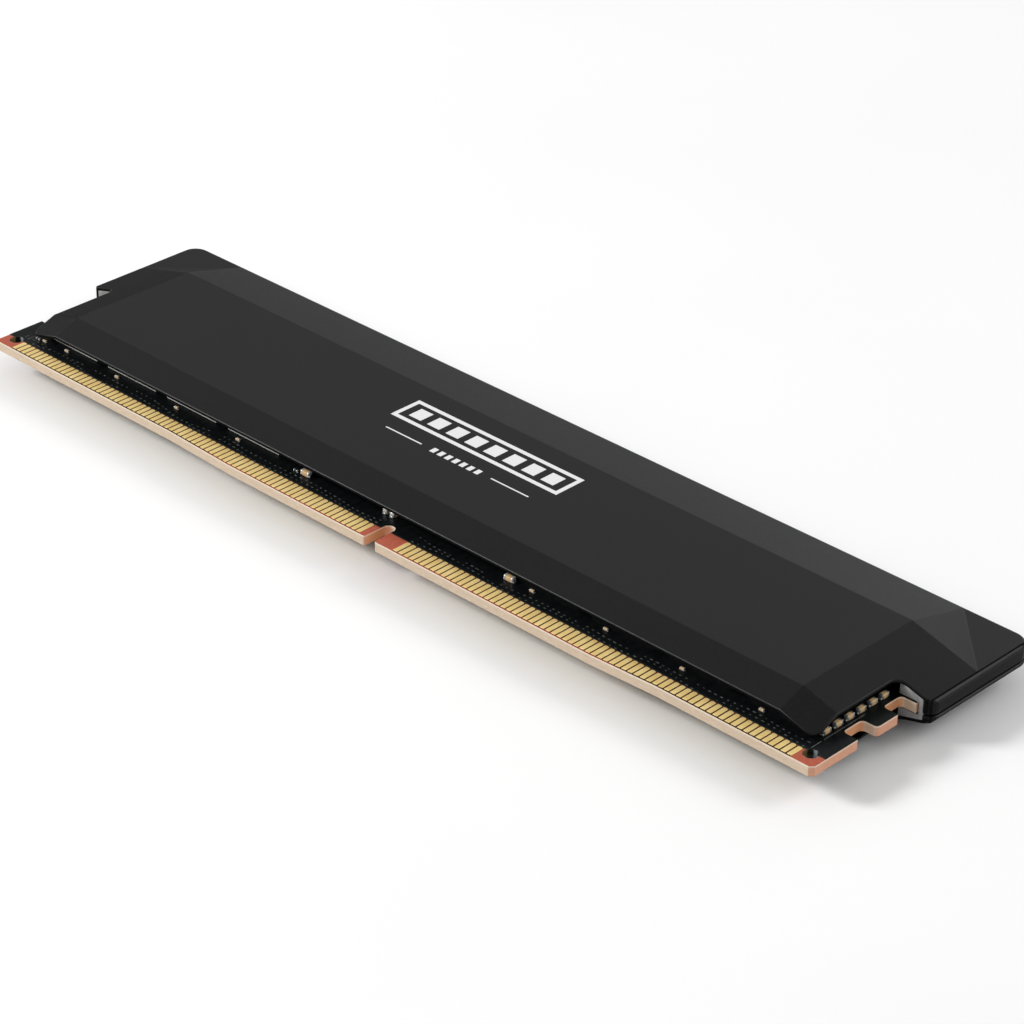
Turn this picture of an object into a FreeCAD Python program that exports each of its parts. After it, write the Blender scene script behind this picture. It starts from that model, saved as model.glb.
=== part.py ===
import FreeCAD, Part

import math
import os
import re

import Sketcher
from FreeCAD import Placement, Rotation, Vector

# Ram module, lying flat with its front face up. Lengths are in millimetres.
# Every sub-part is drawn in the board's own frame: x runs along the board from its middle,
# y runs up the board from the contact edge, and z is the height above the middle of the board.
# Each sub-part's Placement then moves it so that the back heat spreader rests on z = 0
# and the whole module is centred on x = 0, y = 0.

DIMENSIONS = {
    "board_length": 133.35,
    "board_height": 31.25,
    "board_thickness": 1.27,
    "end_step": 0.48,
    "left_ramp_outer": 33.5,
    "left_ramp_inner": 22.5,
    "right_ramp_inner": 36,
    "right_ramp_outer": 45,
    "corner_chamfer": 0.5,
    "corner_hole_diameter": 1.75,
    "corner_hole_inset": 1.78,
    "corner_hole_height": 2.4,
    "key_centre": 1.63,
    "key_width": 1.6,
    "key_depth": 3.9,
    "key_mouth_radius": 0.3,
    "side_notch_depth": 2.05,
    "lower_notch_start": 7.85,
    "lower_notch_end": 11.1,
    "upper_notch_start": 14.5,
    "upper_notch_end": 17.6,
    "notch_corner_radius": 0.6,
    "tooth_corner_radius": 0.5,
    "mask_start": 2.65,
    "mask_thickness": 0.03,
    "contact_pitch": 0.85,
    "contact_width": 0.65,
    "contact_thickness": 0.05,
    "contact_low_end": 0.2,
    "contact_high_end": 2.6,
    "contact_corner": 0.16,
    "left_contact_inset": 3.35,
    "right_contact_inset": 3.25,
    "left_contact_count": 75,
    "right_contact_count": 69,
    "plateau_half_length": 59.16,
    "plateau_bottom": 7.7,
    "plateau_top": 26.02,
    "plateau_height": 3.94,
    "rim_half_length": 68.27,
    "rim_top": 35.31,
    "rim_height": 1.46,
    "rim_chamfer": 0.38,
    "lower_edge": 4.03,
    "lower_edge_height": 2.585,
    "side_edge_half_length": 63.95,
    "ear_bottom": 17.75,
    "outline_corner_radius": 1.3,
    "upper_corner_radius": 2.2,
    "shell_thickness": 0.4,
    "wall_thickness": 1.2,
    "seam_depth": 0.4,
    "chip_width": 9,
    "chip_length": 11,
    "chip_thickness": 1.1,
    "left_chip_low_end": 5.65,
    "right_chip_low_end": 5.95,
    "chip_pitch": 11.15,
    "inner_chip_centre": 24.2,
    "controller_width": 5,
    "controller_thickness": 0.85,
    "small_capacitor_length": 0.6,
    "small_capacitor_width": 0.3,
    "capacitor_length": 1,
    "capacitor_width": 0.5,
    "side_capacitor_length": 1.2,
    "side_capacitor_width": 0.62,
    "large_capacitor_length": 1.4,
    "large_capacitor_width": 0.7,
    "large_capacitor_thickness": 0.65,
    "pad_inset": 0.5,
    "gasket_inner_half_length": 64.2,
    "gasket_top": 25.5,
    "gasket_slot_clearance": 0.17,
    "emblem_thickness": 0.02,
}

doc = FreeCAD.newDocument("RamModule")
sheet = doc.addObject("Spreadsheet::Sheet", "Dimensions")
for row, (alias, value) in enumerate(DIMENSIONS.items(), start=1):
    sheet.set(f"A{row}", alias.replace("_", " "))
    sheet.set(f"B{row}", str(value))
    sheet.setAlias(f"B{row}", alias)
doc.recompute()

# Heights and slopes that follow from the driving dimensions.
SIDE_SLOPE = "((plateau_height - rim_height) / (rim_half_length - plateau_half_length))"
TOP_SLOPE = "((plateau_height - rim_height) / (rim_top - plateau_top))"
LOWER_SLOPE = "((plateau_height - lower_edge_height) / (plateau_bottom - lower_edge))"
OUTER_HALF_LENGTH = "(rim_half_length + rim_chamfer)"
OUTER_TOP = "(rim_top + rim_chamfer)"
BOARD_FACE = "(board_thickness / 2)"
MASK_FACE = "(board_thickness / 2 + mask_thickness)"
INNER_PLATEAU = "(plateau_height - shell_thickness)"
MARGIN = 12


def bound(text):
    """The expression with every dimension's name pointing at its cell."""
    return re.sub(r"[a-z_]+", lambda m: "Dimensions." + m[0] if m[0] in DIMENSIONS else m[0], str(text))


def number(text):
    """The expression's present value as a plain number."""
    return float(sheet.evalExpression(bound(text)))


def place(item, turned=False):
    """Sets a finished sub-part's Placement, turned over about the y direction for the back shell."""
    turn = Rotation(Vector(0, 1, 0), 180 if turned else 0)
    item.Placement = Placement(Vector(0, 0, 0), turn)
    item.setExpression(".Placement.Base.y", bound(f"-{OUTER_TOP} / 2"))
    item.setExpression(".Placement.Base.z", bound("plateau_height"))


def new_body(label):
    body = doc.addObject("PartDesign::Body", label)
    body.Label = label
    return body


def add_sketch(body, name, role="XY_Plane", height=0):
    """An empty sketch on one of the body's own origin planes, lifted by height along its normal."""
    plane = next(item for item in body.Origin.OriginFeatures if item.Role == role)
    sketch = body.newObject("Sketcher::SketchObject", name)
    sketch.AttachmentSupport = (plane, [""])
    sketch.MapMode = "FlatFace"
    sketch.setExpression(".AttachmentOffset.Base.z", bound(height))
    return sketch


def add_constraint(sketch, kind, *refs, value=None):
    """A constraint whose size, when it has one, is driven by an expression."""
    if value is None:
        sketch.addConstraint(Sketcher.Constraint(kind, *refs))
        return
    index = sketch.addConstraint(Sketcher.Constraint(kind, *refs, number(value)))
    sketch.setExpression(f"Constraints[{index}]", bound(value))


def pin_point(sketch, edge, end, x, y):
    """Ties a point to the sketch origin by its two coordinates."""
    for kind, value, axis in (("DistanceX", x, -2), ("DistanceY", y, -1)):
        if abs(number(value)) < 1e-6:
            add_constraint(sketch, "PointOnObject", edge, end, axis)
        else:
            add_constraint(sketch, kind, -1, 1, edge, end, value=value)


def add_polygon(sketch, corners):
    """A closed outline through corners, each given as two expressions."""
    points = [Vector(number(x), number(y), 0) for x, y in corners]
    first = sketch.GeometryCount
    for start, end in zip(points, points[1:] + points[:1]):
        sketch.addGeometry(Part.LineSegment(start, end), False)
    for step, (x, y) in enumerate(corners):
        add_constraint(sketch, "Coincident", first + (step - 1) % len(corners), 2, first + step, 1)
        pin_point(sketch, first + step, 1, x, y)


def add_circle(sketch, x, y, diameter):
    edge = sketch.addGeometry(Part.Circle(Vector(number(x), number(y), 0), Vector(0, 0, 1), 1), False)
    pin_point(sketch, edge, 3, x, y)
    add_constraint(sketch, "Diameter", edge, value=diameter)


def box_corners(low_x, high_x, low_y, high_y):
    return [(low_x, low_y), (high_x, low_y), (high_x, high_y), (low_x, high_y)]


def add_pad(body, sketch, length, name):
    pad = body.newObject("PartDesign::Pad", name)
    pad.Profile = sketch
    pad.setExpression("Length", bound(length))
    sketch.Visibility = False
    doc.recompute()
    return pad


def add_through_pocket(body, sketch, name):
    """Cuts the sketch's outlines right through the body, on both sides of the sketch's plane."""
    pocket = body.newObject("PartDesign::Pocket", name)
    pocket.Profile = sketch
    pocket.Type = "ThroughAll"
    pocket.SideType = "Symmetric"
    sketch.Visibility = False
    doc.recompute()
    return pocket


def upright_edges(shape, spots):
    """Names of the edges that run along z at the given x, y spots."""
    targets = [(number(x), number(y)) for x, y in spots]
    names = []
    for index, edge in enumerate(shape.Edges, start=1):
        start, end = edge.Vertexes[0].Point, edge.Vertexes[-1].Point
        upright = abs(start.x - end.x) + abs(start.y - end.y) < 1e-6 < abs(start.z - end.z)
        if upright and any(math.hypot(start.x - x, start.y - y) < 1e-3 for x, y in targets):
            names.append(f"Edge{index}")
    return names


def soften(body, kind, size, spots, name):
    """A Fillet or Chamfer on the upright edges at the given spots."""
    base = body.Tip
    feature = body.newObject(f"PartDesign::{kind}", name)
    feature.Base = (base, upright_edges(base.Shape, spots))
    feature.setExpression("Radius" if kind == "Fillet" else "Size", bound(size))
    doc.recompute()
    return feature


def mirrored(corners):
    """The same outline on the other side of x = 0."""
    return [(f"-({x})", y) for x, y in corners]


# ---- circuit board, its solder mask and its contacts ----


def cut_contact_edge(body, lift):
    """Steps the two ends of the contact edge back from its middle, by way of a long ramp."""
    sketch = add_sketch(body, body.Name + "_end_steps")
    ramps = [("-", "left_ramp_outer", "left_ramp_inner"), ("", "right_ramp_outer", "right_ramp_inner")]
    for sign, outer, inner in ramps:
        far = f"{sign}(board_length / 2 + {MARGIN})"
        high = f"end_step + {lift}"
        inner_low = [(f"{sign}{inner}", lift), (f"{sign}{inner}", f"-{MARGIN}"), (far, f"-{MARGIN}")]
        add_polygon(sketch, [(far, high), (f"{sign}{outer}", high)] + inner_low)
    add_through_pocket(body, sketch, body.Name + "_end_cut")


def board_layer(label, low_edge, bottom, thickness):
    """A layer with the board's outline, from low_edge up to the top of the board."""
    body = new_body(label)
    outline = add_sketch(body, label + "_outline", height=bottom)
    add_polygon(outline, box_corners("-board_length / 2", "board_length / 2", low_edge, "board_height"))
    add_pad(body, outline, thickness, label + "_pad")

    openings = add_sketch(body, label + "_openings")
    key_sides = ("key_centre - key_width / 2", "key_centre + key_width / 2")
    add_polygon(openings, box_corners(*key_sides, f"-{MARGIN}", "key_depth - key_width / 2"))
    notch_back = "board_length / 2 - side_notch_depth"
    notches = [("lower_notch_start", "lower_notch_end"), ("upper_notch_start", "upper_notch_end")]
    for start, end in notches:
        notch = box_corners(notch_back, f"board_length / 2 + {MARGIN}", start, end)
        add_polygon(openings, notch)
        add_polygon(openings, mirrored(notch))
    add_through_pocket(body, openings, label + "_opening_cut")

    holes = add_sketch(body, label + "_holes")
    for sign in ("-", ""):
        hole_x = f"{sign}(board_length / 2 - corner_hole_inset)"
        add_circle(holes, hole_x, "corner_hole_height", "corner_hole_diameter")
    add_circle(holes, "key_centre", "key_depth - key_width / 2", "key_width")
    add_through_pocket(body, holes, label + "_hole_cut")

    spots = [(f"{sign}({notch_back})", y) for sign in ("-", "") for pair in notches for y in pair]
    soften(body, "Fillet", "notch_corner_radius", spots, label + "_notch_fillets")
    teeth = [(f"{sign}(board_length / 2)", "lower_notch_end") for sign in ("-", "")]
    soften(body, "Fillet", "tooth_corner_radius", teeth, label + "_tooth_fillets")
    return body


circuit_board = board_layer("circuit_board", 0, f"-{BOARD_FACE}", "board_thickness")
cut_contact_edge(circuit_board, 0)
corner_spots = [(f"{sign}(board_length / 2)", "end_step") for sign in ("-", "")]
soften(circuit_board, "Chamfer", "corner_chamfer", corner_spots, "circuit_board_corner_chamfers")
mouth_spots = [(f"key_centre {sign} key_width / 2", 0) for sign in ("-", "+")]
soften(circuit_board, "Fillet", "key_mouth_radius", mouth_spots, "circuit_board_key_mouth")

front_solder_mask = board_layer("front_solder_mask", "mask_start", BOARD_FACE, "mask_thickness")
back_solder_mask = board_layer("back_solder_mask", "mask_start", f"-{MASK_FACE}", "mask_thickness")


def contact_row(body, name, bottom, first_centre, count):
    """A row of flat contacts with clipped upper corners, along the contact edge."""
    sketch = add_sketch(body, name, height=bottom)
    left = f"{first_centre} - contact_width / 2"
    right = f"{first_centre} + contact_width / 2"
    shoulder = "contact_high_end - contact_corner"
    upper = [(right, shoulder), (f"{right} - contact_corner", "contact_high_end")]
    upper += [(f"{left} + contact_corner", "contact_high_end"), (left, shoulder)]
    add_polygon(sketch, [(left, "contact_low_end"), (right, "contact_low_end")] + upper)
    pad = add_pad(body, sketch, "contact_thickness", name + "_pad")
    pattern = body.newObject("PartDesign::LinearPattern", name + "_pattern")
    pattern.Originals = [pad]
    pattern.Direction = (sketch, ["H_Axis"])
    pattern.Mode = "Spacing"
    pattern.setExpression("Offset", bound("contact_pitch"))
    pattern.setExpression("Occurrences", bound(count))
    body.Tip = pattern
    doc.recompute()


def contact_rows(label, bottom):
    body = new_body(label)
    first = "(-board_length / 2 + left_contact_inset)"
    last = "(board_length / 2 - right_contact_inset)"
    contact_row(body, label + "_left", bottom, first, "left_contact_count")
    first_right = f"({last} - (right_contact_count - 1) * contact_pitch)"
    contact_row(body, label + "_right", bottom, first_right, "right_contact_count")
    cut_contact_edge(body, "contact_low_end")
    return body


front_contacts = contact_rows("front_contacts", BOARD_FACE)
back_contacts = contact_rows("back_contacts", f"-({BOARD_FACE} + contact_thickness)")


# ---- heat spreader: two folded shells of the same faceted form ----


def round_rim_chamfer(body, label, side):
    """Carries the rim's chamfer round one upper corner, by a quarter turn about the corner's centre."""
    corner_y = f"({OUTER_TOP} - upper_corner_radius)"
    corner_x = f"({OUTER_HALF_LENGTH} - upper_corner_radius)"
    sign = "" if side > 0 else "-"
    sketch = add_sketch(body, label + "_chamfer_profile", "XZ_Plane", height=f"-{corner_y}")
    sketch.setExpression(".AttachmentOffset.Base.x", bound(f"{sign}{corner_x}"))
    far = f"upper_corner_radius + {MARGIN}"
    low = "rim_height - rim_chamfer"
    above = f"plateau_height + {MARGIN}"
    profile = [("upper_corner_radius - rim_chamfer", "rim_height"), ("upper_corner_radius", low)]
    profile += [(far, low), (far, above), ("upper_corner_radius - rim_chamfer", above)]
    add_polygon(sketch, profile if side > 0 else mirrored(profile))
    groove = body.newObject("PartDesign::Groove", label + "_chamfer")
    groove.Profile = sketch
    groove.ReferenceAxis = (sketch, ["V_Axis"])
    groove.Angle = 90
    groove.Reversed = side < 0
    sketch.Visibility = False
    doc.recompute()


def facet_block(label, outline, rounded_spots, bottom, drop):
    """A block under the shell's facets. A drop lowers every facet, for the hollow inside."""
    body = new_body(label)
    sketch = add_sketch(body, label + "_outline", height=bottom)
    add_polygon(sketch, outline)
    add_pad(body, sketch, f"plateau_height - {drop} - ({bottom})", label + "_pad")
    if rounded_spots:
        upper_spots = [spot for spot in rounded_spots if spot[1] == OUTER_TOP]
        lower_spots = [spot for spot in rounded_spots if spot[1] != OUTER_TOP]
        soften(body, "Fillet", "outline_corner_radius", lower_spots, label + "_corners")
        soften(body, "Fillet", "upper_corner_radius", upper_spots, label + "_upper_corners")

    crest = f"plateau_height - {drop}"
    above = f"plateau_height + {MARGIN}"
    rim = f"rim_height - {drop}"
    chamfer_low = f"rim_height - rim_chamfer - {drop}"

    side = [("plateau_half_length", crest), ("rim_half_length", rim), (OUTER_HALF_LENGTH, chamfer_low)]
    side += [(f"rim_half_length + {MARGIN}", chamfer_low), (f"rim_half_length + {MARGIN}", above)]
    side.append(("plateau_half_length", above))
    ends = add_sketch(body, label + "_side_facets", "XZ_Plane")
    add_polygon(ends, side)
    add_polygon(ends, mirrored(side))
    add_through_pocket(body, ends, label + "_side_cut")

    top = [("plateau_top", crest), ("rim_top", rim), (OUTER_TOP, chamfer_low)]
    top += [(f"rim_top + {MARGIN}", chamfer_low), (f"rim_top + {MARGIN}", above), ("plateau_top", above)]
    lower = [("plateau_bottom", crest), ("plateau_bottom", above), (f"-{MARGIN}", above)]
    lower.append((f"-{MARGIN}", f"{crest} - {LOWER_SLOPE} * (plateau_bottom + {MARGIN})"))
    edges = add_sketch(body, label + "_edge_facets", "YZ_Plane")
    add_polygon(edges, top)
    add_polygon(edges, lower)
    add_through_pocket(body, edges, label + "_edge_cut")

    upper_slope = f"sqrt({SIDE_SLOPE} ^ 2 + {TOP_SLOPE} ^ 2)"
    lower_slope = f"sqrt({SIDE_SLOPE} ^ 2 + {LOWER_SLOPE} ^ 2)"
    upper_turn = f"atan({TOP_SLOPE} / {SIDE_SLOPE})"
    lower_turn = f"atan({LOWER_SLOPE} / {SIDE_SLOPE})"
    run = f"(plateau_height - rim_height) / {upper_slope}"
    upper_cut = [(0, crest), (run, rim), (2 * MARGIN, rim), (2 * MARGIN, above), (0, above)]
    lower_end = f"{crest} - {2 * MARGIN} * {lower_slope}"
    lower_cut = [(0, crest), (2 * MARGIN, lower_end), (2 * MARGIN, above), (0, above)]
    corners = [("upper_right", "", "plateau_top", upper_turn, upper_cut)]
    corners.append(("upper_left", "-", "plateau_top", f"180 deg - {upper_turn}", upper_cut))
    corners.append(("lower_right", "", "plateau_bottom", f"-{lower_turn}", lower_cut))
    corners.append(("lower_left", "-", "plateau_bottom", f"180 deg + {lower_turn}", lower_cut))
    for corner, sign, corner_y, turn, cut in corners:
        sketch = add_sketch(body, f"{label}_{corner}", "XZ_Plane", height=f"-{corner_y}")
        sketch.AttachmentOffset = Placement(sketch.AttachmentOffset.Base, Rotation(Vector(0, 1, 0), 30))
        sketch.setExpression(".AttachmentOffset.Base.x", bound(f"{sign}plateau_half_length"))
        sketch.setExpression(".AttachmentOffset.Rotation.Angle", bound(turn))
        add_polygon(sketch, cut)
        add_through_pocket(body, sketch, f"{label}_{corner}_cut")
    if rounded_spots:
        for side, end in ((-1, "left"), (1, "right")):
            round_rim_chamfer(body, f"{label}_{end}", side)
    return body


def heat_spreader(label, bottom, turned):
    """One shell: the faceted block less the hollow that leaves its skin and its three walls."""
    half = [("side_edge_half_length", "lower_edge"), ("side_edge_half_length", "ear_bottom")]
    half += [(OUTER_HALF_LENGTH, "ear_bottom"), (OUTER_HALF_LENGTH, OUTER_TOP)]
    outline = half + mirrored(half)[::-1]
    block = facet_block(label + "_block", outline, outline, bottom, 0)
    inner_half = f"{OUTER_HALF_LENGTH} - wall_thickness"
    hollow = box_corners(f"-({inner_half})", inner_half, f"-{MARGIN}", f"{OUTER_TOP} - wall_thickness")
    cavity = facet_block(label + "_cavity", hollow, [], f"{bottom} - {MARGIN}", "shell_thickness")
    shell = doc.addObject("Part::Cut", label)
    shell.Base = block
    shell.Tool = cavity
    shell.Label = label
    doc.recompute()
    place(shell, turned)
    return shell


front_heat_spreader = heat_spreader("front_heat_spreader", "-seam_depth", False)
back_heat_spreader = heat_spreader("back_heat_spreader", "seam_depth", True)


# ---- packages on the board ----


def packages(label, centres, size_x, size_y, bottom, thickness):
    """Flat boxes of one size standing at the given centres, each its own solid."""
    body = new_body(label)
    sketch = add_sketch(body, label + "_outlines", height=bottom)
    for x, y in centres:
        x_range = (f"{x} - {size_x} / 2", f"{x} + {size_x} / 2")
        add_polygon(sketch, box_corners(*x_range, f"{y} - {size_y} / 2", f"{y} + {size_y} / 2"))
    add_pad(body, sketch, thickness, label + "_pad")
    return body


chip_steps = range(4)
left_chips = [f"-(inner_chip_centre + {step} * chip_pitch)" for step in reversed(chip_steps)]
right_chips = [f"(inner_chip_centre + {step} * chip_pitch)" for step in chip_steps]
chip_size = ("chip_width", "chip_length", MASK_FACE, "chip_thickness")
chip_rows = [(x, "(left_chip_low_end + chip_length / 2)") for x in left_chips]
chip_rows += [(x, "(right_chip_low_end + chip_length / 2)") for x in right_chips]
memory_chips = [
    packages(f"memory_chip_{n}", [spot], *chip_size)
    for n, spot in enumerate(chip_rows, start=1)
]

controller_spot = (-2, 19)
controller_size = ("controller_width", "controller_width", MASK_FACE, "controller_thickness")
power_controller = packages("power_controller", [controller_spot], *controller_size)
profile_hub = packages("profile_hub", [(8.5, 19)], 3, 2, MASK_FACE, 0.75)
inductor_columns = (-9, -2, 5)
power_inductors = [
    packages(f"power_inductor_{n}", [(x, 26.6)], 3.2, 2.5, MASK_FACE, 1.2)
    for n, x in enumerate(inductor_columns, start=1)
]

# Small capacitors lie along x beside the contacts, one under each memory chip and one more at the left end.
small_size = ("small_capacitor_length", "small_capacitor_width", MASK_FACE, "small_capacitor_width")
left_small = [(f"{x} - 1.7", 4.73) for x in left_chips[1:]] + [(-57.87, 4.74), (-61.91, 4.5)]
right_small = [(f"{x} - 1.5", 4.85) for x in right_chips]
edge_capacitors = packages("edge_capacitors", left_small + right_small, *small_size)
resistor_size = ("small_capacitor_length", "small_capacitor_width", MASK_FACE, 0.23)
edge_resistors = packages("edge_resistors", [(-15.6, 4.62), (-63.05, 4.35)], *resistor_size)

large_thickness = (MASK_FACE, "large_capacitor_thickness")
lying_size = ("large_capacitor_length", "large_capacitor_width", *large_thickness)
standing_size = ("large_capacitor_width", "large_capacitor_length", *large_thickness)
bulk_capacitors = packages("bulk_capacitors", [(-14, 4.83), (19.29, 4.85)], *lying_size)
middle_capacitors = packages("middle_capacitors", [(-1.1, 5.8), (0.06, 5.8)], *standing_size)
around_controller = [(x, y) for x in (-9, -7, 3, 5) for y in (17.6, 20.4)]
around_controller += [(x + shift, 29.2) for x in inductor_columns for shift in (-1.2, 1.2)]
power_capacitors = packages("power_capacitors", around_controller, *standing_size)

standard_size = ("capacitor_width", "capacitor_length", MASK_FACE, "capacitor_width")
side_spots = [(63.55, 6.41 + 1.92 * step) for step in range(6)]
side_size = ("side_capacitor_width", "side_capacitor_length", MASK_FACE, "side_capacitor_width")
side_capacitors = packages("side_capacitors", side_spots, *side_size)
chip_columns = [f"{x} + {shift}" for x in left_chips + right_chips for shift in (-2, 0, 2)]
chip_capacitors = packages("chip_capacitors", [(x, 18.6) for x in chip_columns], *standard_size)
back_size = ("capacitor_width", "capacitor_length", f"-({MASK_FACE} + capacitor_width)", "capacitor_width")
back_capacitors = packages("back_capacitors", [(x, 27.5) for x in chip_columns], *back_size)


# ---- pads between the board's parts and the shells, and the gaskets in the two ears ----


def thermal_pad(label, low_x, high_x, low_y, high_y, bottom, top):
    body = new_body(label)
    sketch = add_sketch(body, label + "_outline", height=bottom)
    add_polygon(sketch, box_corners(low_x, high_x, low_y, high_y))
    add_pad(body, sketch, f"{top} - ({bottom})", label + "_pad")
    return body


pad_inner = "inner_chip_centre - chip_width / 2"
pad_outer = "plateau_half_length - pad_inset"
pad_low = "plateau_bottom + pad_inset"
chip_top = f"{MASK_FACE} + chip_thickness"
front_pad = (pad_low, "left_chip_low_end + chip_length", chip_top, INNER_PLATEAU)
back_pad = (pad_low, "plateau_top - pad_inset", f"-{INNER_PLATEAU}", f"-{MASK_FACE}")
left_span = (f"-({pad_outer})", f"-({pad_inner})")
right_span = (pad_inner, pad_outer)
front_left_thermal_pad = thermal_pad("front_left_thermal_pad", *left_span, *front_pad)
front_right_thermal_pad = thermal_pad("front_right_thermal_pad", *right_span, *front_pad)
back_left_thermal_pad = thermal_pad("back_left_thermal_pad", *left_span, *back_pad)
back_right_thermal_pad = thermal_pad("back_right_thermal_pad", *right_span, *back_pad)
controller_bottom = f"{MASK_FACE} + controller_thickness"
controller_height = f"{INNER_PLATEAU} - ({controller_bottom})"
controller_pad_size = ("controller_width", "controller_width", controller_bottom, controller_height)
controller_thermal_pad = packages("controller_thermal_pad", [controller_spot], *controller_pad_size)


def end_gasket(label, side):
    """A gasket that fills the ear from shell to shell, with a slot for the end of the board."""
    outer = f"{OUTER_HALF_LENGTH} - wall_thickness"
    inner = "gasket_inner_half_length"
    outer_top = f"{INNER_PLATEAU} - {SIDE_SLOPE} * ({outer} - plateau_half_length)"
    inner_top = f"{INNER_PLATEAU} - {SIDE_SLOPE} * ({inner} - plateau_half_length)"
    slot_end = "board_length / 2 + gasket_slot_clearance"
    slot_low = f"-({MASK_FACE} + gasket_slot_clearance)"
    profile = [(inner, inner_top), (outer, outer_top), (outer, f"-({outer_top})"), (inner, f"-({inner_top})")]
    profile += [(inner, slot_low), (slot_end, slot_low), (slot_end, MASK_FACE), (inner, MASK_FACE)]
    body = new_body(label)
    sketch = add_sketch(body, label + "_profile", "XZ_Plane", height="-gasket_top")
    add_polygon(sketch, profile if side > 0 else mirrored(profile))
    add_pad(body, sketch, "gasket_top - ear_bottom", label + "_pad")
    return body


right_end_gasket = end_gasket("right_end_gasket", 1)
left_end_gasket = end_gasket("left_end_gasket", -1)


# ---- emblem printed on the front: a plain pictogram of a memory module above two thin rules ----

front_emblem = new_body("front_emblem")
emblem = add_sketch(front_emblem, "front_emblem_outlines", height="plateau_height")
add_polygon(emblem, box_corners(-13.6, 13.6, 18.2, 23))
add_polygon(emblem, box_corners(-13, 13, 18.8, 22.4))
for column in range(8):
    column_x = (column - 3.5) * 3.1
    add_polygon(emblem, box_corners(column_x - 1, column_x + 1, 19.5, 21.7))
for sign in (-1, 1):
    rule_ends = sorted((sign * 5.7, sign * 11.7))
    add_polygon(emblem, box_corners(*rule_ends, 15.5, 15.7))
for tooth in range(7):
    tooth_x = (tooth - 3) * 1.2
    add_polygon(emblem, box_corners(tooth_x - 0.35, tooth_x + 0.35, 15.1, 16.1))
add_pad(front_emblem, emblem, "emblem_thickness", "front_emblem_pad")


# ---- every sub-part in its place, checked and written out ----

bodies = [circuit_board, front_solder_mask, back_solder_mask, front_contacts, back_contacts]
bodies += memory_chips + [power_controller, profile_hub] + power_inductors
bodies += [edge_capacitors, edge_resistors, bulk_capacitors, middle_capacitors]
bodies += [power_capacitors, side_capacitors, chip_capacitors, back_capacitors]
bodies += [front_left_thermal_pad, front_right_thermal_pad, back_left_thermal_pad, back_right_thermal_pad]
bodies += [controller_thermal_pad, left_end_gasket, right_end_gasket, front_emblem]
for body in bodies:
    place(body)
doc.recompute()

sub_parts = bodies + [front_heat_spreader, back_heat_spreader]
broken = [item.Label for item in doc.Objects if "Invalid" in item.State or "Error" in item.State]
broken += [item.Label for item in sub_parts if item.Shape.isNull() or not item.Shape.isValid()]
if broken:
    raise RuntimeError(f"these did not build: {broken}")

os.makedirs("parts", exist_ok=True)
for item in sub_parts:
    item.Shape.exportStep(f"parts/{item.Label}.step")
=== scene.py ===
import math

import bmesh
import bpy
from mathutils import Matrix, Vector, noise


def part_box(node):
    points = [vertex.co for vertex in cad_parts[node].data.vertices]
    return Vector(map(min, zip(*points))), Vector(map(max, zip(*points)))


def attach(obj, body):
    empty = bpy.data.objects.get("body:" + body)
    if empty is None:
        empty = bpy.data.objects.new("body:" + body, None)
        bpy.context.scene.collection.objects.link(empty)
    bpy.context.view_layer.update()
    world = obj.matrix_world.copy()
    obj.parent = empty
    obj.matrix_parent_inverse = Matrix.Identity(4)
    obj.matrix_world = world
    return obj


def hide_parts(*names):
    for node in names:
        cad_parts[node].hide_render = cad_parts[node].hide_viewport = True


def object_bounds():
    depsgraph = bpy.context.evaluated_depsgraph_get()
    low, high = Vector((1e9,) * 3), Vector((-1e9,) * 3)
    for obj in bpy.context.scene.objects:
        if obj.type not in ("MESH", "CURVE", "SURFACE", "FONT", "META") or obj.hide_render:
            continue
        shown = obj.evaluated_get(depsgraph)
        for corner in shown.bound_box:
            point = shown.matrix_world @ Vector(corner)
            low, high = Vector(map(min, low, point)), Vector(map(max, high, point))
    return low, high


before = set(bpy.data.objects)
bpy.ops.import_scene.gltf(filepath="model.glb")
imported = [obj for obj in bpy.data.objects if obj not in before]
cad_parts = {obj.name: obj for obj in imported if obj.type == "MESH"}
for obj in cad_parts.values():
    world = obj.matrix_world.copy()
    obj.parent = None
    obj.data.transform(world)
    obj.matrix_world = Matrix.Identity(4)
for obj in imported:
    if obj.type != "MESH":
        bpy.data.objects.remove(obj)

# Looks for the ram module. Everything is in metres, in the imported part's frame. Places on the board
# are given in millimetres from the middle of the contact edge, and at() turns them into the frame.

MM = 0.001
CAD_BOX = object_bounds()
BOARD_LOW, BOARD_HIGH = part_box("circuit_board")
MASK_LOW, MASK_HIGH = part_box("front_solder_mask")
SEAM_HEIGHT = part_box("back_heat_spreader")[1].z
BOARD_MIDDLE = (BOARD_LOW + BOARD_HIGH) / 2
EDGE_MIDDLE = Vector((BOARD_MIDDLE.x, BOARD_LOW.y, BOARD_MIDDLE.z))

# Details that only the looks need, in millimetres.
SEAM_GAP = 0.2
LIP_ROUNDING = 0.16
RIM_CHAMFER = 0.26
SHELL_ROUNDING = 0.13
END_LINE = (0.48, 0.3)  # how far in from each end face the line of painted shade starts and stops
BOARD_ROUNDING = 0.04
CONTACT_ROUNDING = 0.022
EAR_START = 64.6  # how far out along the shell its two ears start
NOTCH_START = 7.2  # how far up the board its side notches start
KEY_SIDES = (0.7, 2.55)  # the worn walls of the key notch lie between these, along the edge
KEY_REACH = (0.5, 3.3)  # and between these, above the edge
GAP_REACH = (0.3, 2.55)  # where the dark gaps between contacts start and stop above the edge
HOLE_INSET = 1.78
HOLE_HEIGHT = 2.4
RING_RADII = (0.865, 0.9)
LINING_RADII = (0.84, 0.87)
PRINT_DEPTH = 0.012  # how far printed lines and covered vias stand up from the mask
VIA_ROWS = (3.15, 3.9)
VIA_HALF_WIDTH = 0.07
PRINT_HALF_WIDTH = 0.035
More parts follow.
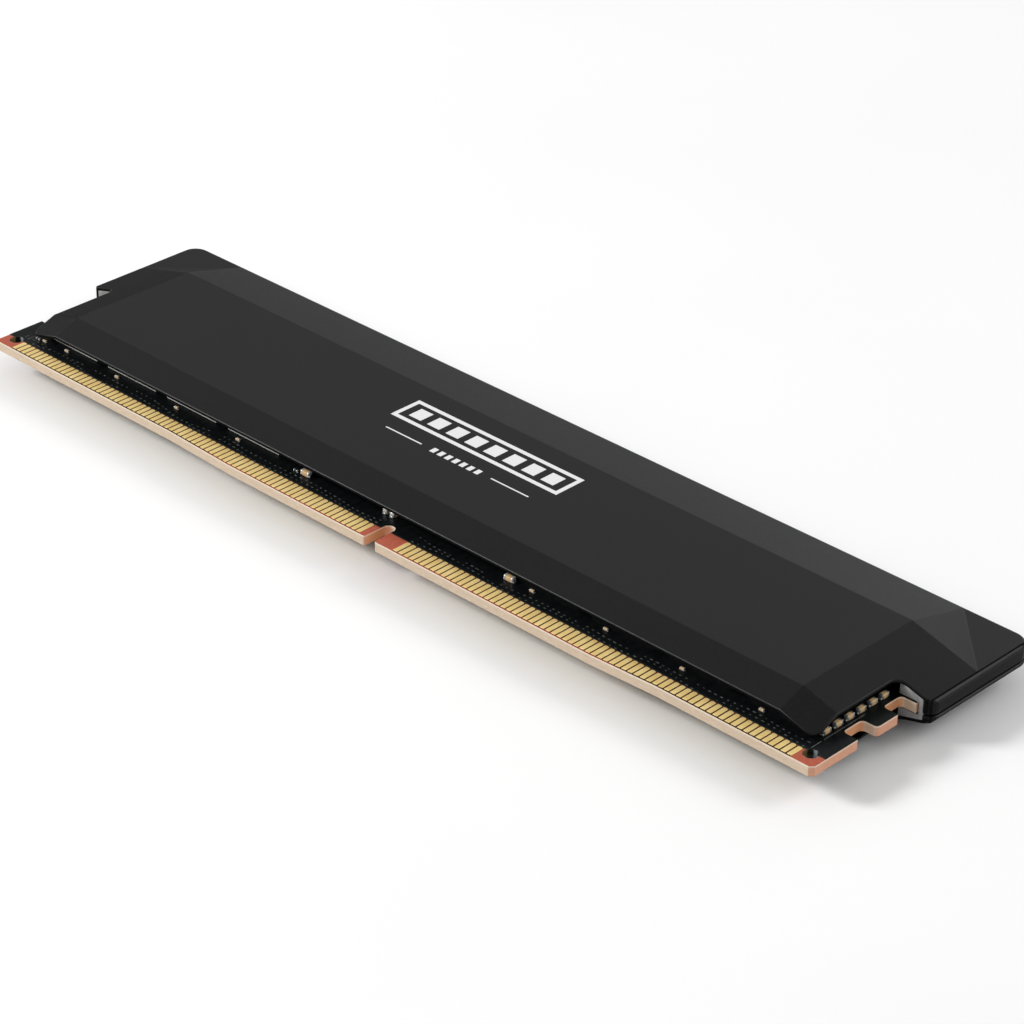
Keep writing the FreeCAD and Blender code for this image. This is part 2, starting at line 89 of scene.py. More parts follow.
PRINT_LINES = [(-64.0, 3.4, 4.9), (-64.7, 3.6, 4.2), (64.24, 3.3, 4.9), (64.24, 5.3, 12.0)]
FILLET_REACH = 0.12  # how far the solder runs out from a part's end
FILLET_PROFILE = ((0.0, 0.0), (1.0, 0.0), (0.35, 0.35), (0.0, 1.0))  # shares of its reach and rise
CARRIER_LIFT = 0.08  # the gap under a memory chip that its solder balls stand in
CARRIER_DEPTH = 0.27
BALL_PITCH = 0.8
BALL_COLUMNS = (-4, -3, -2, 2, 3, 4)
BALL_ROWS = range(-6, 7)
BALL_RADIUS = 0.19
BALL_HALF_HEIGHT = 0.04
LEAD_PITCH = 0.5
DENT_SPREAD = 1.5  # how far apart the dents in the pads and gaskets are
DENT_DEPTH = 0.035


def at(x, y, z=0.0):
    """A point given in millimetres along, up and out from the middle of the contact edge."""
    return EDGE_MIDDLE + Vector((x, y, z)) * MM


# ---- materials ----


class Nodes:
    """A node tree, with short ways to add to it."""

    def __init__(self, tree):
        self.tree = tree

    def node(self, kind, **settings):
        made = self.tree.nodes.new(kind)
        for name, value in settings.items():
            setattr(made, name, value)
        return made

    def wire(self, source, target):
        self.tree.links.new(source, target)

    def set(self, socket, value):
        """Gives a socket a number, a colour or another node's output."""
        if isinstance(value, bpy.types.NodeSocket):
            self.wire(value, socket)
        else:
            socket.default_value = (*value, 1.0) if isinstance(value, tuple) else value

    def math(self, operation, first, second=0.0):
        made = self.node("ShaderNodeMath", operation=operation)
        self.set(made.inputs[0], first)
        self.set(made.inputs[1], second)
        return made.outputs[0]

    def times(self, first, second):
        return self.math("MULTIPLY", first, second)

    def rest(self, value):
        """What is left of 1 when value is taken off."""
        return self.math("SUBTRACT", 1.0, value)

    def ramp(self, value, start, end, low, high):
        """low up to start and high from end on, with a straight rise or fall between."""
        made = self.node("ShaderNodeMapRange")
        self.wire(value, made.inputs["Value"])
        names = ("From Min", "From Max", "To Min", "To Max")
        for name, number in zip(names, (start, end, low, high)):
            made.inputs[name].default_value = number
        return made.outputs["Result"]

    def split(self, source):
        """A vector's three parts."""
        made = self.node("ShaderNodeSeparateXYZ")
        self.wire(source, made.inputs[0])
        return made.outputs


class Shader(Nodes):
    """A node material with one Principled surface, and short ways to add what drives it."""

    def __init__(self, name, roughness, metallic=0.0, specular=0.5):
        self.material = bpy.data.materials.new(name)
        self.material.use_nodes = True
        super().__init__(self.material.node_tree)
        self.surface = self.tree.nodes["Principled BSDF"]
        self.surface.inputs["Roughness"].default_value = roughness
        self.surface.inputs["Metallic"].default_value = metallic
        self.surface.inputs["Specular IOR Level"].default_value = specular
        self.place = self.node("ShaderNodeTexCoord").outputs["Object"]

    def axes(self):
        """The place on the object, as three separate numbers."""
        return self.split(self.place)

    def facing(self):
        """The flat surface's direction, as three separate numbers."""
        return self.split(self.node("ShaderNodeNewGeometry").outputs["True Normal"])

    def blur_step(self, value, edge, width):
        """0 below edge and 1 above it, changing over width."""
        made = self.node("ShaderNodeMapRange", interpolation_type="SMOOTHSTEP")
        self.set(made.inputs["Value"], value)
        made.inputs["From Min"].default_value = edge - width / 2
        made.inputs["From Max"].default_value = edge + width / 2
        return made.outputs["Result"]

    def band(self, value, low, high, width):
        """1 between low and high, falling to 0 over width at each end."""
        rise = self.blur_step(value, low, width)
        return self.math("SUBTRACT", rise, self.blur_step(value, high, width))

    def stretched(self, scale):
        made = self.node("ShaderNodeMapping")
        self.wire(self.place, made.inputs["Vector"])
        made.inputs["Scale"].default_value = scale
        return made.outputs["Vector"]

    def grain(self, size, detail=2, stretch=None):
        """Noise with features about size millimetres across, stretched by a scale on each axis."""
        made = self.node("ShaderNodeTexNoise")
        self.wire(self.stretched(stretch) if stretch else self.place, made.inputs["Vector"])
        made.inputs["Scale"].default_value = 1 / (size * MM)
        made.inputs["Detail"].default_value = detail
        return made.outputs["Fac"]

    def ranged(self, noise_value, low, high):
        """Spreads noise, most of which lies between 0.3 and 0.7, from low to high."""
        return self.ramp(noise_value, 0.3, 0.7, low, high)

    def mix(self, factor, first, second):
        made = self.node("ShaderNodeMix", data_type="RGBA")
        self.set(made.inputs[0], factor)
        self.set(made.inputs[6], first)
        self.set(made.inputs[7], second)
        return made.outputs[2]

    def colour(self, value):
        self.set(self.surface.inputs["Base Color"], value)

    def roughness(self, value):
        self.set(self.surface.inputs["Roughness"], value)

    def bump(self, height, depth, strength=0.5):
        """Raises the surface by height times depth millimetres."""
        made = self.node("ShaderNodeBump")
        made.inputs["Strength"].default_value = strength
        made.inputs["Distance"].default_value = depth * MM
        self.wire(height, made.inputs["Height"])
        self.wire(made.outputs["Normal"], self.surface.inputs["Normal"])


def coating_material():
    """Fine matte black powder coat, faintly mottled, with painted light and painted shade on some
    sides.
    """
    shader = Shader("matte_black_coating", 0.5, specular=0.22)
    speckle = shader.grain(0.16, detail=3)
    cloud = shader.grain(9)
    across, along, upward = shader.facing()

    # The small facets that lean left and back are rougher, and are painted paler as painted light.
    leaning_left = shader.rest(shader.blur_step(across, -0.12, 0.16))
    back_left = shader.times(leaning_left, shader.blur_step(along, 0.12, 0.16))
    speckled = shader.ranged(speckle, 0.0, 1.0)
    fine = shader.mix(speckled, (0.0045, 0.0045, 0.0047), (0.0095, 0.0095, 0.0098))
    dark = shader.mix(shader.ranged(cloud, 0.0, 0.35), fine, (0.009, 0.009, 0.0094))
    shader.colour(shader.mix(back_left, dark, (0.036, 0.036, 0.037)))
    shader.roughness(shader.math("MAXIMUM", shader.ranged(speckle, 0.32, 0.42), back_left))

    # Painted shade: the shine is cut on upright walls, left-hand facets and walls towards the
    # contacts, and slightly on right-hand facets.
    facing_up = shader.blur_step(shader.math("ABSOLUTE", upward), 0.15, 0.2)
    shine = shader.math("ADD", 0.08, shader.times(facing_up, 0.14))
    facing_left = shader.rest(shader.blur_step(across, -0.17, 0.12))
    facing_left = shader.times(facing_left, shader.blur_step(along, -0.2, 0.2))
    shine = shader.times(shine, shader.rest(shader.times(facing_left, 0.93)))
    shine = shader.times(shine, shader.blur_step(along, -0.86, 0.2))
    facing_right = shader.times(shader.blur_step(across, 0.15, 0.2), 0.16)
    shine = shader.times(shine, shader.rest(facing_right))

    # Painted shade: a dark line near each end face, where the shine is cut.
    from_middle = shader.math("ABSOLUTE", shader.axes()[0])
    line_start, line_stop = (CAD_BOX[1][0] - inset * MM for inset in END_LINE)
    painted_end_shade = shader.band(from_middle, line_start, line_stop, 0.06 * MM)
    shine = shader.times(shine, shader.rest(painted_end_shade))
    shader.set(shader.surface.inputs["Specular IOR Level"], shine)
    shader.bump(speckle, 0.012)
    return shader.material


def laminate_material():
    """Cut fibreglass: tan layers, a painted highlight along the top, pinker ends and browner notches.
    """
    shader = Shader("fibreglass_edge", 0.6, specular=0.3)
    x, y, z = shader.axes()
    across = shader.math("ABSOLUTE", shader.facing()[0])
    weave = shader.grain(0.9, detail=3, stretch=(1, 1, 14))
    fibre = shader.grain(0.12)
    layers = shader.ranged(weave, 0, 1)
    tan = shader.mix(layers, (0.55, 0.415, 0.295), (0.69, 0.57, 0.44))
    tan = shader.mix(shader.ranged(fibre, 0, 0.3), tan, (0.48, 0.35, 0.23))
    pink = shader.mix(layers, (0.62, 0.29, 0.17), (0.74, 0.40, 0.27))
    body = shader.mix(shader.blur_step(across, 0.5, 0.3), tan, pink)

    inward = shader.math("LESS_THAN", shader.math("ABSOLUTE", x), BOARD_HIGH.x - 0.45 * MM)
    in_notch = shader.times(inward, shader.blur_step(y, at(0, NOTCH_START).y, 0.6 * MM))
    key_left, key_right = (at(side, 0).x for side in KEY_SIDES)
    key_low, key_high = (at(0, reach).y for reach in KEY_REACH)
    beside_key = shader.band(x, key_left, key_right, 0.1 * MM)
    in_key = shader.times(beside_key, shader.band(y, key_low, key_high, 1.2 * MM))
    wear = shader.math("ADD", 0.15, shader.times(shader.blur_step(across, 0.55, 0.5), 0.65))
    worn = shader.times(shader.math("MAXIMUM", in_notch, in_key), wear)
    body = shader.mix(worn, body, (0.62, 0.28, 0.12))

    # Painted highlight: a pale line along the top of the cut walls.
    painted_top_highlight = shader.blur_step(z, BOARD_HIGH.z - 0.2 * MM, 0.12 * MM)
    shader.colour(shader.mix(shader.times(painted_top_highlight, 0.55), body, (0.86, 0.78, 0.66)))
    shader.bump(weave, 0.03, 0.6)
    return shader.material


def bare_face_material():
    """The board's bare face: brick red, and dark olive between the contacts."""
    shader = Shader("bare_board_face", 0.5, specular=0.15)
    x, y, _ = shader.axes()
    covered = None
    for low, high in contact_spans("front_contacts"):
        span = shader.band(x, low, high, 0.06 * MM)
        covered = span if covered is None else shader.math("MAXIMUM", covered, span)
    reach_low, reach_high = (at(0, reach).y for reach in GAP_REACH)
    between = shader.times(covered, shader.band(y, reach_low, reach_high, 0.06 * MM))
    strip = shader.math("SUBTRACT", covered, between)
    mottle = shader.grain(0.5, detail=3)
    patches = shader.ranged(mottle, 0, 1)
    red = shader.mix(patches, (0.39, 0.087, 0.050), (0.47, 0.115, 0.066))
    olive = shader.mix(patches, (0.022, 0.010, 0.002), (0.048, 0.024, 0.006))
    # Painted shade: the red is darker along the contact rows, below and above the contacts.
    red = shader.mix(shader.times(strip, 0.6), red, (0.16, 0.022, 0.012))
    shader.colour(shader.mix(between, red, olive))
    shader.roughness(shader.ranged(mottle, 0.34, 0.5))
    shader.bump(mottle, 0.01)
    return shader.material


def bare_rim_material():
    """The routed rim round the board's faces, a thin pale line."""
    shader = Shader("bare_board_rim", 0.5, specular=0.35)
    mottle = shader.grain(0.3)
    shader.colour(shader.mix(shader.ranged(mottle, 0, 1), (0.58, 0.34, 0.22), (0.72, 0.52, 0.38)))
    shader.bump(mottle, 0.01)
    return shader.material


def mask_material():
    """Black solder mask with a teal border and the faint relief of buried copper."""
    shader = Shader("black_solder_mask", 0.38, specular=0.12)
    mottle = shader.grain(0.7, detail=3)
    traces = shader.node("ShaderNodeTexWave", bands_direction="X")
    shader.wire(shader.place, traces.inputs["Vector"])
    traces.inputs["Scale"].default_value = 1 / (4 * MM)
    traces.inputs["Distortion"].default_value = 1.5
    relief = traces.outputs["Fac"]
    patches = shader.ranged(mottle, 0, 1)
    black = shader.mix(patches, (0.0025, 0.0032, 0.0035), (0.005, 0.0062, 0.0066))
    black = shader.mix(shader.times(relief, 0.3), black, (0.007, 0.009, 0.0095))
    border = shader.rest(shader.blur_step(shader.axes()[1], MASK_LOW.y + 0.16 * MM, 0.2 * MM))
    shader.colour(shader.mix(shader.times(border, 0.6), black, (0.010, 0.034, 0.033)))
    shader.roughness(shader.ranged(mottle, 0.32, 0.46))
    shader.bump(relief, 0.012)
    return shader.material


def plated_material(name, low, high, roughness, stretch, metallic=1.0):
    """Metal plating with slight colour change and fine rub marks along one direction."""
    shader = Shader(name, roughness, metallic=metallic)
    tone = shader.grain(1.6)
    marks = shader.grain(0.09, stretch=stretch)
    shader.colour(shader.mix(shader.ranged(tone, 0, 1), low, high))
    shader.roughness(shader.ranged(marks, roughness - 0.07, roughness + 0.09))
    shader.bump(marks, 0.004, 0.4)
    return shader.material


def hole_wall_material():
    """The corner holes' plated wall in painted shade and light: black, olive towards the left end,
    grey on the far side.
    """
    shader = Shader("hole_wall_painted_light", 0.45, specular=0.08)
    across, along, _ = shader.facing()
    mottle = shader.grain(0.3)
    # Painted shade: the wall is near black. Painted light: olive on the walls towards the left end,
    # grey on the far side.
    black = shader.mix(shader.ranged(mottle, 0, 1), (0.002, 0.002, 0.002), (0.008, 0.007, 0.005))
    olive = shader.mix(shader.blur_step(across, 0.90, 0.14), black, (0.16, 0.10, 0.03))
    painted_lit_far_wall = shader.blur_step(shader.times(along, -1.0), 0.955, 0.08)
    shader.colour(shader.mix(painted_lit_far_wall, olive, (0.17, 0.20, 0.21)))
    shader.bump(mottle, 0.01)
    return shader.material


def moulded_material(name, low, high, grain_size, roughness, depth=0.01, specular=0.4):
    """A matt body with a two-tone grain of its own size."""
    shader = Shader(name, roughness, specular=specular)
    speckle = shader.grain(grain_size, detail=3)
    shader.colour(shader.mix(shader.ranged(speckle, 0, 1), low, high))
    shader.roughness(shader.ranged(speckle, roughness - 0.06, roughness + 0.08))
    shader.bump(speckle, depth)
    return shader.material


def foam_material(name, low, high, cell):
    """Soft foam or silicone with small cells."""
    shader = Shader(name, 0.85, specular=0.2)
    cells = shader.node("ShaderNodeTexVoronoi")
    shader.wire(shader.place, cells.inputs["Vector"])
    cells.inputs["Scale"].default_value = 1 / (cell * MM)
    tone = shader.grain(1.2, detail=3)
    shade = shader.mix(shader.ranged(tone, 0, 1), low, high)
    shader.colour(shader.mix(shader.times(cells.outputs["Distance"], 0.35), shade, low))
    shader.bump(cells.outputs["Distance"], 0.03)
    return shader.material


def floor_material():
    shader = Shader("pale_floor", 0.9, specular=0.1)
    tone = shader.grain(60)
    patches = shader.ranged(tone, 0, 1)
    shader.colour(shader.mix(patches, (0.965, 0.965, 0.965), (0.985, 0.985, 0.985)))
    return shader.material


# ---- mesh helpers ----


def tidy_mesh(node):
    """The CAD node's shape as flat polygons with no doubled points or stray diagonals."""
    shape = bmesh.new()
    shape.from_mesh(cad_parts[node].data)
    bmesh.ops.remove_doubles(shape, verts=shape.verts, dist=0.0005 * MM)
    limit = math.radians(0.3)
    bmesh.ops.dissolve_limit(shape, angle_limit=limit, verts=shape.verts, edges=shape.edges)
    return shape


def islands(node):
    """Lowest and highest corner of each separate solid in a CAD node, from left to right."""
    shape = tidy_mesh(node)
    waiting = set(shape.verts)
    boxes = []
    while waiting:
        front = [waiting.pop()]
        found = []
        while front:
            vert = front.pop()
            found.append(vert.co.copy())
            for edge in vert.link_edges:
                other = edge.other_vert(vert)
                if other in waiting:
                    waiting.remove(other)
                    front.append(other)
        low = Vector(map(min, *found))
        boxes.append((low, Vector(map(max, *found))))
    shape.free()
    return sorted(boxes, key=lambda box: (round(box[0].x, 6), round(box[0].y, 6)))


def contact_spans(node):
    """Where each unbroken row of contacts starts and ends along x."""
    spans = []
    for low, high in islands(node):
        if spans and low.x - spans[-1][1] < 1 * MM:
            spans[-1][1] = high.x
        else:
            spans.append([low.x, high.x])
    return spans


def piece(name, shape, materials, nodes=(), smooth=True):
    """Turns a bmesh into a named piece that rides on the module and stands for some CAD nodes."""
    mesh = bpy.data.meshes.new(name)
    bmesh.ops.recalc_face_normals(shape, faces=shape.faces)
    shape.to_mesh(mesh)
    shape.free()
    for material in materials:
        mesh.materials.append(material)
    made = bpy.data.objects.new(name, mesh)
    bpy.context.scene.collection.objects.link(made)
    if smooth:
        mesh.shade_smooth()
        weights = made.modifiers.new("flat_faces", "WEIGHTED_NORMAL")
        weights.keep_sharp = True
        weights.weight = 100
    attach(made, "root")
    if nodes:
        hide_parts(*nodes)
    return made


def soften(shape, width, least_angle, segments=2, spared=frozenset(), clamp=True):
    """Rounds the edges that turn by over least_angle degrees, apart from the spared faces' own."""
    limit = math.radians(least_angle)
    sharp = [e for e in shape.edges if len(e.link_faces) == 2 and e.calc_face_angle() > limit]
    sharp = [e for e in sharp if spared.isdisjoint(e.link_faces)]
    bmesh.ops.bevel(
        shape, geom=sharp, offset=width * MM, segments=segments, profile=0.5,
        affect="EDGES", clamp_overlap=clamp,
    )


def add_block(shape, low, high, radius, index=0, segments=2):
    """Adds a block with rounded edges to a bmesh."""
    size = high - low
    matrix = Matrix.Translation((low + high) / 2) @ Matrix.Diagonal((*size, 1))
    corners = bmesh.ops.create_cube(shape, size=1, matrix=matrix)["verts"]
    edges = dict.fromkeys(edge for vert in corners for edge in vert.link_edges)
    faces = {face for vert in corners for face in vert.link_faces}
    for face in faces:
        face.material_index = index
    reach = min(radius * MM, min(size) * 0.45)
    rounded = bmesh.ops.bevel(
        shape, geom=list(edges), offset=reach, segments=segments, profile=0.5,
        affect="EDGES", clamp_overlap=True,
    )
    for face in rounded["faces"]:
        face.material_index = index


def add_prism(shape, outline, low_z, high_z):
    """Adds an upright prism over an outline of x, y points."""
    floor = [shape.verts.new((x, y, low_z)) for x, y in outline]
    roof = [shape.verts.new((x, y, high_z)) for x, y in outline]
    shape.faces.new(floor[::-1])
    shape.faces.new(roof)
    for step in range(len(outline)):
        after = (step + 1) % len(outline)
        shape.faces.new((floor[step], floor[after], roof[after], roof[step]))


def add_ring(shape, centre, inner, outer, low_z, high_z, index=0):
    """Adds a flat ring round a point. Radii are in millimetres."""
    steps = 40
    loops = []
    for radius, z in ((inner, low_z), (outer, low_z), (outer, high_z), (inner, high_z)):
        loop = []
        for step in range(steps):
            turn = 2 * math.pi * step / steps
            x = centre.x + radius * MM * math.cos(turn)
            y = centre.y + radius * MM * math.sin(turn)
            loop.append(shape.verts.new((x, y, z)))
        loops.append(loop)
    for near, far in zip(loops, loops[1:] + loops[:1]):
        for step in range(steps):
            after = (step + 1) % steps
            face = shape.faces.new((near[step], near[after], far[after], far[step]))
            face.material_index = index


# ---- heat spreader ----


def outer_walls(edge):
    """The edge's faces that stand upright and look away from the module's middle."""
    walls = [face for face in edge.link_faces if abs(face.normal.z) < 0.1]
    return [face for face in walls if face.normal.xy.dot(face.calc_center_median().xy) > 0]


def seam_rim(shape, height):
    """The outer edges of the flat face where one shell meets the other."""
    level = [e for e in shape.edges if all(abs(vert.co.z - height) < 0.01 * MM for vert in e.verts)]
    return [edge for edge in level if outer_walls(edge)]


def lip_edges(shape, up):
    """The outer edges of the facets along the contact side and the bottoms of the two ears."""
    found = []
    for edge in shape.edges:
        facets = [face for face in edge.link_faces if face.normal.z * up > 0.3]
        for wall in outer_walls(edge):
            inboard = abs(wall.calc_center_median().x) < EAR_START * MM
            if facets and (inboard or wall.normal.y < -0.3):
                found.append(edge)
    return found


def round_off(shape, edges, width, segments):
    """Rounds the given edges and returns the new faces."""
    made = bmesh.ops.bevel(
        shape, geom=edges, offset=width * MM, segments=segments, profile=0.5,
        affect="EDGES", clamp_overlap=False,
    )
    shape.normal_update()
    return set(made["faces"])


def make_spreader(side):
    """One shell of folded metal with rounded edges. A thin gap shows where the two meet."""
    shape = tidy_mesh(f"{side}_heat_spreader")
    shape.normal_update()
    up = 1 if side == "front" else -1
    meeting = SEAM_HEIGHT - (0 if side == "front" else SEAM_GAP * MM)
    for vert in shape.verts:
        if abs(vert.co.z - SEAM_HEIGHT) < 0.05 * MM:
            vert.co.z = meeting
    finished = round_off(shape, lip_edges(shape, up), LIP_ROUNDING, 3)
    if side == "back":
        finished |= round_off(shape, seam_rim(shape, meeting), RIM_CHAMFER, 1)
    soften(shape, SHELL_ROUNDING, 7, spared=finished, clamp=False)
    piece(f"{side}_spreader_shell", shape, [COATING], [f"{side}_heat_spreader"])


def make_soft_part(node, material, radius):
    """A pad or gasket: rounded along its edges and slightly uneven, inside its CAD solid."""
    shape = tidy_mesh(node)
    soften(shape, radius, 20, segments=3)
    bmesh.ops.triangulate(shape, faces=[face for face in shape.faces if len(face.verts) > 4])
    long_edges = [edge for edge in shape.edges if edge.calc_length() > 1.2 * MM]
    bmesh.ops.subdivide_edges(shape, edges=long_edges, cuts=3, use_grid_fill=True)
    shape.normal_update()
    moves = {}
    for vert in shape.verts:
        dent = (noise.noise(vert.co / (DENT_SPREAD * MM)) + 1) / 2
        moves[vert] = vert.normal * (-DENT_DEPTH * MM * dent)
    for vert, move in moves.items():
        vert.co += move
    ending = "foam" if "gasket" in node else "soft"
    made = piece(f"{node}_{ending}", shape, [material], [node])


# ---- circuit board ----


def make_board():
    """The laminate, with its faces, cut walls and worn rims told apart."""
    shape = tidy_mesh("circuit_board")
    soften(shape, BOARD_ROUNDING, 25)
    shape.normal_update()
    for face in shape.faces:
        upright = abs(face.normal.z)
        face.material_index = 0 if upright > 0.97 else 1 if upright < 0.2 else 2
    materials = [bare_face_material(), laminate_material(), bare_rim_material()]
    piece("board_laminate", shape, materials, ["circuit_board"])


def make_contacts(side, material):
    """The gold contacts of one face, each with a soft edge."""
    shape = tidy_mesh(f"{side}_contacts")
    soften(shape, CONTACT_ROUNDING, 20)
    piece(f"{side}_gold_contacts", shape, [material], [f"{side}_contacts"])


def make_vias(side):
    """Covered vias behind the contacts in uneven rows, with the short traces that lead to them."""
    up = 1 if side == "front" else -1
    face_z = MASK_HIGH.z if up > 0 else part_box("back_solder_mask")[0].z
    heights = sorted((face_z - 0.002 * MM * up, face_z + PRINT_DEPTH * MM * up))
    shape = bmesh.new()
    for low, high in islands(f"{side}_contacts"):
        x = (low.x + high.x) / 2
        for row_y in VIA_ROWS:
            chance = noise.noise(Vector((x / MM * 0.37, row_y * 2, up)))
            if chance < -0.4:
                continue  # an empty place
            y = row_y + 0.9 * noise.noise(Vector((x / MM * 0.13, row_y, 7 + up)))
            reach = (0.12 + 0.2 * max(0.0, chance)) * MM
            left, right = x - reach, x + reach
            near, far = at(0, y - VIA_HALF_WIDTH).y, at(0, y + VIA_HALF_WIDTH).y
            outline = [(left, near), (right, near), (right, far), (left, far)]
            add_prism(shape, outline, *heights)
    dim, bright = (0.022, 0.024, 0.024), (0.16, 0.165, 0.165)
    covered = moulded_material(f"{side}_covered_copper", dim, bright, 0.9, 0.4)
    piece(f"{side}_vias", shape, [covered], smooth=False)


def make_print_lines():
    """Plain printed lines on the mask beside the two bottom corners."""
    shape = bmesh.new()
    for x, low_y, high_y in PRINT_LINES:
        low, high = at(x - PRINT_HALF_WIDTH, low_y), at(x + PRINT_HALF_WIDTH, high_y)
        low.z, high.z = MASK_HIGH.z - 0.001 * MM, MASK_HIGH.z + PRINT_DEPTH * MM
        add_block(shape, low, high, 0.004, segments=1)
    ink = moulded_material("board_print", (0.08, 0.08, 0.078), (0.22, 0.22, 0.21), 0.3, 0.6)
    piece("board_print_lines", shape, [ink])


def make_corner_rings():
    """Thin plated rings round the holes in the two bottom corners, and the holes' linings in painted
    shade and light.
    """
    shape = bmesh.new()
    out = (BOARD_HIGH.x - BOARD_LOW.x) / 2 / MM - HOLE_INSET
    for x in (-out, out):
        centre = at(x, HOLE_HEIGHT)
        for z, up in ((BOARD_HIGH.z, 1), (BOARD_LOW.z, -1)):
            heights = sorted((z - 0.002 * MM * up, z + 0.01 * MM * up))
            add_ring(shape, centre, *RING_RADII, *heights)
        add_ring(shape, centre, *LINING_RADII, BOARD_LOW.z, BOARD_HIGH.z, index=1)
    piece("corner_hole_rings", shape, [AGED_TIN, hole_wall_material()])


# ---- parts soldered to the board ----

PACKAGE_SKIRT = Vector((0.03, 0.03, 0)) * MM  # how far a moulded body stands in from its box


def add_fillet(shape, low, high, axis, sign, base_z, up, index):
    """A small wedge of solder against one end of a part."""
    other = 1 - axis
    reach = FILLET_REACH * MM
    end = high[axis] if sign > 0 else low[axis]
    rise = (high.z - low.z) * 0.45 * up
    inset = (high[other] - low[other]) * 0.08
    corners = []
    for side in (low[other] + inset, high[other] - inset):
        for out, climb in FILLET_PROFILE:
            spot = Vector((0, 0, base_z + rise * climb))
            spot[axis] = end + sign * reach * out
            spot[other] = side
            corners.append(shape.verts.new(spot))
    near, far = corners[:4], corners[4:]
    faces = [shape.faces.new(near), shape.faces.new(far[::-1])]
    for step in range(4):
        after = (step + 1) % 4
        faces.append(shape.faces.new((near[step], far[step], far[after], near[after])))
    for face in faces:
        face.material_index = index


def make_soldered(node, body_material, cap_share=0.24, up=1, ends=None):
    """Every capacitor, resistor or inductor of a node: a body between tinned ends with solder."""
    shape = bmesh.new()
    for low, high in islands(node):
        size = high - low
        axis = 0 if size.x > size.y else 1
        other = 1 - axis
        cap = size[axis] * cap_share
        radius = min(size) / MM * 0.16

        # The body is a little narrower and lower than its ends, and runs on inside them.
        end_step, side_step, top_step = cap * 0.6, size[other] * 0.04, size.z * 0.05
        body_low, body_high = low.copy(), high.copy()
        body_low[axis] += end_step
        body_high[axis] -= end_step
        body_low[other] += side_step
        body_high[other] -= side_step
        if up > 0:
            body_high.z -= top_step
        else:
            body_low.z += top_step
        add_block(shape, body_low, body_high, radius * 0.5, index=0)

        for sign in (-1, 1):
            cap_low, cap_high = low.copy(), high.copy()
            if sign < 0:
                cap_high[axis] = low[axis] + cap
            else:
                cap_low[axis] = high[axis] - cap
            add_block(shape, cap_low, cap_high, radius, index=1)
            add_fillet(shape, low, high, axis, sign, low.z if up > 0 else high.z, up, 2)
    piece(f"{node}_soldered", shape, [body_material, ends or TIN, SOLDER], [node])


def make_memory_chip(number):
    """A ball grid package: solder balls, a thin carrier and the moulded body."""
    node = f"memory_chip_{number}"
    low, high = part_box(node)
    carrier_low = Vector((low.x, low.y, low.z + CARRIER_LIFT * MM))
    carrier_high = Vector((high.x, high.y, carrier_low.z + CARRIER_DEPTH * MM))
    body_low = Vector((low.x, low.y, carrier_high.z))
    shape = bmesh.new()
    add_block(shape, body_low + PACKAGE_SKIRT, high - PACKAGE_SKIRT, 0.05, index=0)
    add_block(shape, carrier_low, carrier_high, 0.015, index=1)
    centre = (low + high) / 2
    ball_size = Matrix.Diagonal((BALL_RADIUS * MM, BALL_RADIUS * MM, BALL_HALF_HEIGHT * MM, 1))
    for column in BALL_COLUMNS:
        for row in BALL_ROWS:
            x = centre.x + column * BALL_PITCH * MM
            y = centre.y + row * BALL_PITCH * MM
            matrix = Matrix.Translation((x, y, low.z + BALL_HALF_HEIGHT * MM)) @ ball_size
            ball = bmesh.ops.create_uvsphere(
                shape, u_segments=8, v_segments=5, radius=1, matrix=matrix,
            )
            for face in {face for vert in ball["verts"] for face in vert.link_faces}:
                face.material_index = 2
    piece(f"{node}_package", shape, [MOULD, CARRIER, SOLDER], [node])


def make_leaded_package(node, along_x, along_y):
    """A flat moulded package with a row of tinned pads on its sides."""
    low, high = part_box(node)
    shape = bmesh.new()
    add_block(shape, low + PACKAGE_SKIRT, high - PACKAGE_SKIRT, 0.05, index=0)
    centre = (low + high) / 2
    half_width, depth, height = 0.13 * MM, 0.3 * MM, 0.2 * MM
    for axis, count in ((0, along_x), (1, along_y)):
        other = 1 - axis
        for step in range(count):
            middle = centre[axis] + (step - (count - 1) / 2) * LEAD_PITCH * MM
            for edge, inward in ((low[other], 1), (high[other], -1)):
                pad_low = Vector((0, 0, low.z))
                pad_high = Vector((0, 0, low.z + height))
                pad_low[axis] = middle - half_width
                pad_high[axis] = middle + half_width
                pad_low[other], pad_high[other] = sorted((edge, edge + inward * depth))
                add_block(shape, pad_low, pad_high, 0.02, index=1, segments=1)
    piece(f"{node}_package", shape, [MOULD, TIN], [node])


# ---- the object ----

COATING = coating_material()
TIN = plated_material(
    "tinned_metal", (0.80, 0.79, 0.76), (0.92, 0.91, 0.88), 0.34, (1, 1, 1), metallic=0.4,
)
SOLDER = plated_material("solder", (0.52, 0.52, 0.52), (0.68, 0.68, 0.67), 0.42, (1, 1, 1))
MOULD = moulded_material("chip_mould", (0.012, 0.012, 0.013), (0.024, 0.024, 0.025), 0.12, 0.6)
# A pale carrier, painted near white as painted light where it lies in the shade of the shell's lip.
CARRIER = moulded_material("chip_carrier_painted_light", (0.86, 0.84, 0.78), (0.94, 0.93, 0.88), 0.2, 0.5)
GOLD = plated_material(
    "gold_plate", (0.88, 0.62, 0.22), (0.99, 0.75, 0.32), 0.4, (1, 0.12, 1), metallic=0.4,
)
CERAMIC = moulded_material(
    "tan_ceramic", (0.70, 0.45, 0.21), (0.84, 0.59, 0.32), 0.14, 0.5, specular=0.2,
)
